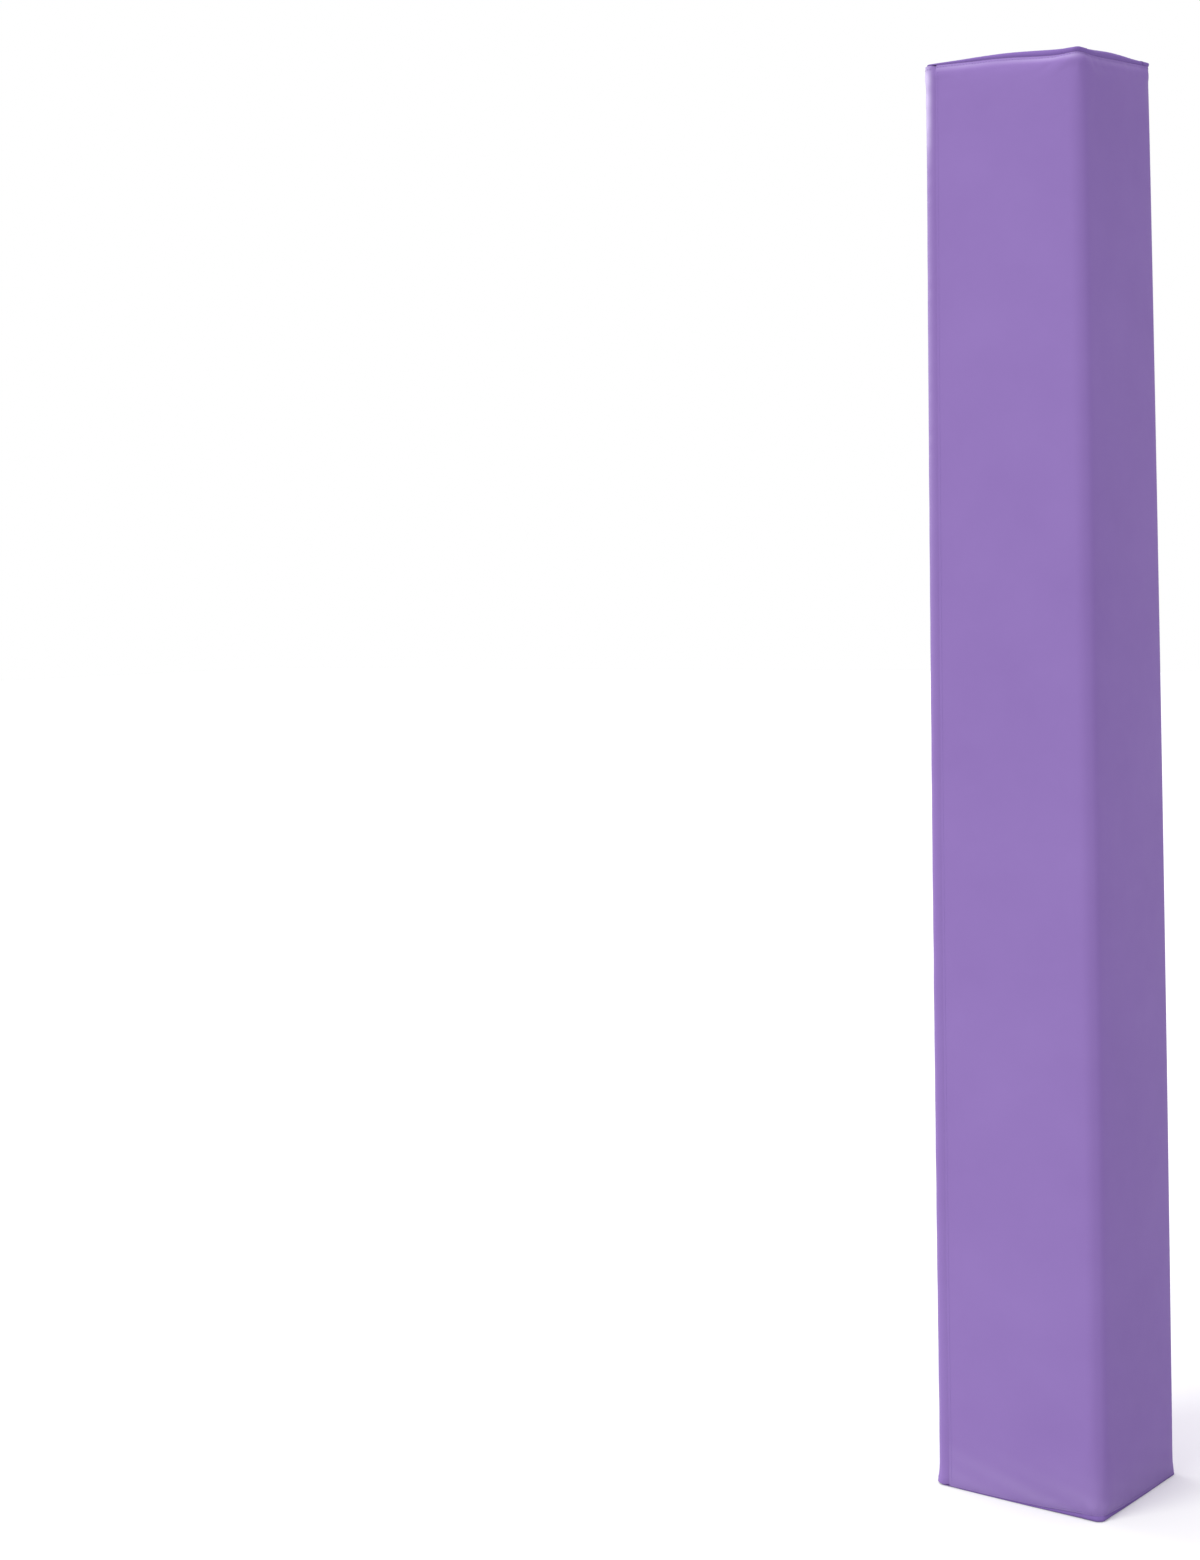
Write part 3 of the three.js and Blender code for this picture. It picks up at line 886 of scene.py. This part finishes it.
def flap_surfaces():
    """The flap's outside and inside: columns go from the free edge on the left panel round the corner to the
    sewn edge on the front, and rows go up. It lies close at the seam, climbs onto the tapes, is a little
    thicker along its hems, and is puckered at the corner near the top and the bottom. It is painted paler
    round the corner, most near the top, as a painted highlight on its rim."""
    walk, up = flap_walks[None, :], flap_ups[:, None]
    from_top, from_bottom = flap_high - up, up - flap_low
    tapes = 3 * tape_gap + 2 * tape_thickness
    climb = eased(np.clip((-flap_seam - walk) / (tape_from_corner - flap_seam), 0, 1))
    past = np.clip((-walk - tape_from_corner - tape_width) / (6 * MM), 0, 1)
    tucked = eased(np.clip((walk - 1.5 * MM) / (flap_seam - 2.5 * MM), 0, 1))
    at_corner = bell(walk - flap_swell_at, flap_swell_width)
    ruffle = 0.5 + 0.5 * uneven(up, 21 * MM, 31 * MM, 5, 81)
    ruffled = np.exp(-(from_top / ruffled_at_top) ** 4) + 0.6 * bell(from_bottom, ruffled_at_bottom)
    lie = tape_gap + (tapes - tape_gap) * climb - free_edge_dip * past**2
    lie = lie + ruffle_size * ruffle * ruffled * at_corner
    lie = lie + looseness * (1 + uneven(up, 45 * MM, 170 * MM, 7, 82)) * at_corner
    lie = lie - (flap_sink - 0.1 * MM + tape_gap) * tucked
    from_edge = np.minimum(np.minimum(walk + flap_reach, from_top), from_bottom)
    hem = (1 - tucked) / (1 + np.exp((from_edge - hem_width) / hem_softness))
    rounded = np.sqrt(np.clip(from_edge / (1 * MM), 0, 1))
    thick = flap_thickness * (0.55 + 0.45 * rounded) + hem_ridge * hem - tucked_thinning * tucked
    inside, _ = on_cover(walk, up, lie)
    outside, _ = on_cover(walk, up, lie + thick)
    # Painted highlight on the rim round the corner, most near the top and on the ruffles.
    rim_highlight = np.exp(-(from_top / highlight_at_top) ** 6) + 0.25 * np.exp(-(from_top / faint_highlight_at_top) ** 4)
    rim_highlight = rim_highlight * np.exp(-(np.abs(walk - rim_highlight_at) / rim_highlight_width) ** 3)
    painted_light = np.clip(rim_highlight * (0.35 + 0.65 * ruffle), 0, 1)
    thickness = outside - inside
    free = (1 - tucked) * (1 - climb) + 0 * up
    slack = (0.006 + 0.03 * ruffled) * free
    inside = let_settle("flap_sheet", inside, 1 - 0.97 * free**0.5, slack, 0.4, 0.05 * MM, 2 * MM)
    outside = inside + thickness
    return outside, inside, None, painted_light


flap_shape = flap_surfaces()
flap = body_between("closure_flap_cloth", *flap_shape)
give(flap, cover_vinyl)
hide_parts("closure_flap")
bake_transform(flap)


# Stitching. Bonded polyester thread, purple on the vinyl and black on the tapes, in lock stitches of 3 mm: a
# row just inside each end seam and beside the flap's seam, round the flap's hems, and down both tapes.

stitch_length = 2.9 * MM
stitch_pitch = 3.9 * MM
thread_radius = 0.24 * MM
thread_twist = 0.5 * MM
row_from_end_seam = 2.8 * MM
row_from_flap_seam = 3 * MM
row_from_hem = 6.5 * MM
row_from_tape_edge = 2.2 * MM


def thread(name, light, dark):
    """Bonded polyester thread: fine twisted plies, seen as light and dark bands, and a slight sheen."""
    finish, tree, shader, place = material(name)
    plies = node(tree, "TexWave", {"Vector": place, "Scale": 1 / thread_twist / 3, "Distortion": 1.0},
                 bands_direction="DIAGONAL")
    tint = node(tree, "Mix", {"Factor": plies.outputs["Fac"], "A": linear(light),
                              "B": linear(dark)}, data_type="RGBA")
    grooves = node(tree, "Bump", {"Height": plies.outputs["Fac"], "Strength": 0.5, "Distance": 0.1 * MM})
    fill(tree, shader, {"Base Color": tint.outputs["Result"], "Normal": grooves.outputs["Normal"],
                        "Roughness": 0.5, "Specular IOR Level": 0.2})
    return finish


purple_thread = thread("bonded_polyester_thread_purple", "#9980C2", "#8067A9")
black_thread = thread("bonded_polyester_thread_black", "#2A2730", "#121015")


def stitching(name, rows, surface):
    """Rows of stitches on a surface. Each row is given by its two ends, as places on the walk and heights,
    or has a function of the walk as its height. A stitch is a short rod along the row that dips into the
    cloth at both ends: five rings of six points."""
    share = np.linspace(-1, 1, 5)
    walk, up = [], []
    for (walk_a, up_a), (walk_b, up_b) in rows:
        length = abs(walk_b - walk_a) if callable(up_a) else math.hypot(walk_b - walk_a, up_b - up_a)
        middle = (np.arange(int(length / stitch_pitch)) + 0.5) * stitch_pitch / length
        place = middle[:, None] + share * stitch_length / 2 / length
        walk.append(walk_a + (walk_b - walk_a) * place)
        up.append(up_a(walk[-1]) if callable(up_a) else up_a + (up_b - up_a) * place)
    walk, up = np.concatenate(walk), np.concatenate(up)
    lift = thread_radius * (0.75 - 1.3 * share**4)
    centres, normals = surface(walk, up, lift + 0 * walk)
    run = np.gradient(centres, axis=1)
    run = run / np.linalg.norm(run, axis=-1, keepdims=True)
    side = np.cross(run, normals)[:, :, None]
    turn = np.arange(6)[:, None] * math.pi / 3
    thick = thread_radius * np.array([0.5, 0.95, 1, 0.95, 0.5])[:, None, None]
    ring = side * np.cos(turn) + normals[:, :, None] * np.sin(turn) * 0.8
    at = np.arange(30).reshape(5, 6)
    beside = np.roll(at, -1, axis=1)
    walls = np.stack([at[:-1], at[1:], beside[1:], beside[:-1]], axis=-1).reshape(-1, 4)
    caps = np.array([[0, 1, 2, 3], [0, 3, 4, 5], [27, 26, 25, 24], [29, 28, 27, 24]])
    one = np.concatenate([walls, caps])
    faces = (one[None] + 30 * np.arange(len(walk))[:, None, None]).reshape(-1, 4)
    piece = new_piece(name, centres[:, :, None] + thick * ring, faces)
    piece.data.shade_smooth()
    return piece


def above_bottom_seam(walk):
    """Height of the row of stitches just inside the bottom seam."""
    return seams(walk)[0] + row_from_end_seam


def below_top_seam(walk):
    """Height of the row of stitches just inside the top seam."""
    return seams(walk)[1] - row_from_end_seam


def end_seam_stitches(name, first, last):
    """The rows at the bottom and the top of the outside sheet, between two places on the walk."""
    rows = [((first, row), (last, 0.0)) for row in (above_bottom_seam, below_top_seam)]
    return give(stitching(name, rows, on_cover), purple_thread)


for k, name in enumerate(PANELS):
    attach(end_seam_stitches(f"{name}_end_seam_stitching", *face_ends(k)), f"{name}_panel")
for k in range(3):
    strip = end_seam_stitches(f"{PANELS[k]}_{PANELS[k + 1]}_corner_stitching", face_ends(k)[1],
                              face_ends(k + 1)[0])
    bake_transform(strip)

seam_row = flap_seam + row_from_flap_seam
seam_stitches = stitching("flap_seam_stitching", [((seam_row, 8 * MM), (seam_row, pad_height - 9 * MM))],
                          on_cover)
give(seam_stitches, purple_thread, "front_panel")


def on_flap(walk, up, stand_off):
    """Points and normals on the outside of the flap."""
    outside = flap_shape[0]
    return between(outside, facing(outside), flap_ups, flap_walks, up, walk, stand_off)


flap_corners = [(-flap_reach + row_from_hem, flap_low + row_from_hem),
                (-flap_reach + row_from_hem, flap_high - row_from_hem)]
hem_rows = [tuple(flap_corners)]
hem_rows += [(corner, (flap_seam - row_from_flap_seam, corner[1])) for corner in flap_corners]
tape_edges = [-tape_from_corner - tape_width + row_from_tape_edge, -tape_from_corner - row_from_tape_edge]
tape_rows = [((walk, tape_low + 3 * MM), (walk, tape_high - 3 * MM)) for walk in tape_edges]
for name, rows in (("flap_hem_stitching", hem_rows), ("hook_tape_stitching", tape_rows)):
    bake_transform(give(stitching(name, rows, on_flap), purple_thread))


def on_loop_tape(walk, up, stand_off):
    """Points and normals on the face of the loop tape, where its edges are sewn down."""
    return on_cover(walk, up, stand_off + tape_gap + 0.85 * tape_thickness)


give(stitching("loop_tape_stitching", tape_rows, on_loop_tape), black_thread, "left_panel")


# Floor, light and camera. A plain white studio: an even light from all round, a soft key from the front and
# a little left, a top light and a fill from the left, so that each face of the square has its own tone.

floor_half = 30
floor_corners = np.array([(-1, -1, 0), (1, -1, 0), (1, 1, 0), (-1, 1, 0)]) * floor_half
floor = new_piece("studio_floor", floor_corners, np.array([(0, 1, 2, 3)]))


def seen_directly(tree):
    """One for what the camera sees straight, in a reflection or through glass, and nothing otherwise."""
    rays = node(tree, "LightPath").outputs
    seen = node(tree, "Math", {0: rays["Is Camera Ray"], 1: rays["Is Glossy Ray"]}, operation="MAXIMUM")
    seen = node(tree, "Math", {0: seen.outputs["Value"], 1: rays["Is Transmission Ray"]},
                operation="MAXIMUM")
    return seen.outputs["Value"]


# Matt white paint on the studio's floor: dull all over, and lifted to plain white for the camera alone, so
# that only the shadow of the pad shows on it.
floor_finish, tree, shader, place = material("matt_white_studio_floor")
specks = node(tree, "TexNoise", {"Vector": place, "Scale": 3.0})
tint = node(tree, "Mix", {"Factor": specks.outputs["Fac"], "A": linear("#D4D4D4"),
                          "B": linear("#D0D0D0")}, data_type="RGBA")
fill(tree, shader, {"Base Color": tint.outputs["Result"], "Roughness": 1.0, "Specular IOR Level": 0.0})
glow = node(tree, "Emission", {"Strength": 0.26})
nothing = node(tree, "Emission", {"Strength": 0.0})
lifted = node(tree, "MixShader", {0: seen_directly(tree), 1: nothing.outputs["Emission"],
                                  2: glow.outputs["Emission"]})
both = node(tree, "AddShader", {0: shader.outputs["BSDF"], 1: lifted.outputs["Shader"]})
fill(tree, tree.nodes["Material Output"], {"Surface": both.outputs["Shader"]})
floor.data.materials.append(floor_finish)

world = bpy.data.worlds.new("even_studio_light")
bpy.context.scene.world = world
world.use_nodes = True
tree = world.node_tree
even = node(tree, "Background", {"Color": (0.95, 0.885, 1.06, 1), "Strength": 0.58})
white = node(tree, "Background", {"Color": (1, 1, 1, 1), "Strength": 1.0})
chosen = node(tree, "MixShader", {0: seen_directly(tree), 1: even.outputs["Background"],
                                  2: white.outputs["Background"]})
fill(tree, tree.nodes["World Output"], {"Surface": chosen.outputs["Shader"]})


def sun(name, strength, azimuth, elevation, spread, colour=(1, 1, 1)):
    """A soft distant light that shines from an azimuth (0 is the front, 90 the right) and an elevation."""
    lamp = bpy.data.lights.new(name, "SUN")
    lamp.energy = strength
    lamp.angle = math.radians(spread)
    lamp.color = colour
    holder = bpy.data.objects.new(name, lamp)
    bpy.context.scene.collection.objects.link(holder)
    holder.rotation_euler = (math.radians(90 - elevation), 0, math.radians(azimuth))


sun("key_from_front_left", 1.55, -15, 50, 24, (1.02, 1.08, 0.915))
sun("top_light", 1.0, 0, 86, 50)
sun("fill_from_left", 1.1, -100, 30, 40)

bpy.context.scene.view_settings.view_transform = "Standard"

photo_long_side = 1560
focal_pixels = 2419.3
camera_data = bpy.data.cameras.new("camera")
camera_data.sensor_width = 36
camera_data.lens = focal_pixels * camera_data.sensor_width / photo_long_side
camera_data.shift_x = 230 / photo_long_side
camera_data.shift_y = -120 / photo_long_side
camera = bpy.data.objects.new("camera", camera_data)
bpy.context.scene.collection.objects.link(camera)
camera.location = (1.402, -2.920, 1.151)
yaw, pitch, roll = (math.radians(a) for a in (41.265, -1.275, -1.136))
ahead = np.array([-math.sin(yaw) * math.cos(pitch), math.cos(yaw) * math.cos(pitch), math.sin(pitch)])
level = np.array([math.cos(yaw), math.sin(yaw), 0])
above = np.cross(level, ahead)
right = math.cos(roll) * level + math.sin(roll) * above
top = -math.sin(roll) * level + math.cos(roll) * above
camera.rotation_mode = "QUATERNION"
camera.rotation_quaternion = Matrix(np.stack([right, top, -ahead], axis=1).tolist()).to_quaternion()
bpy.context.scene.camera = camera
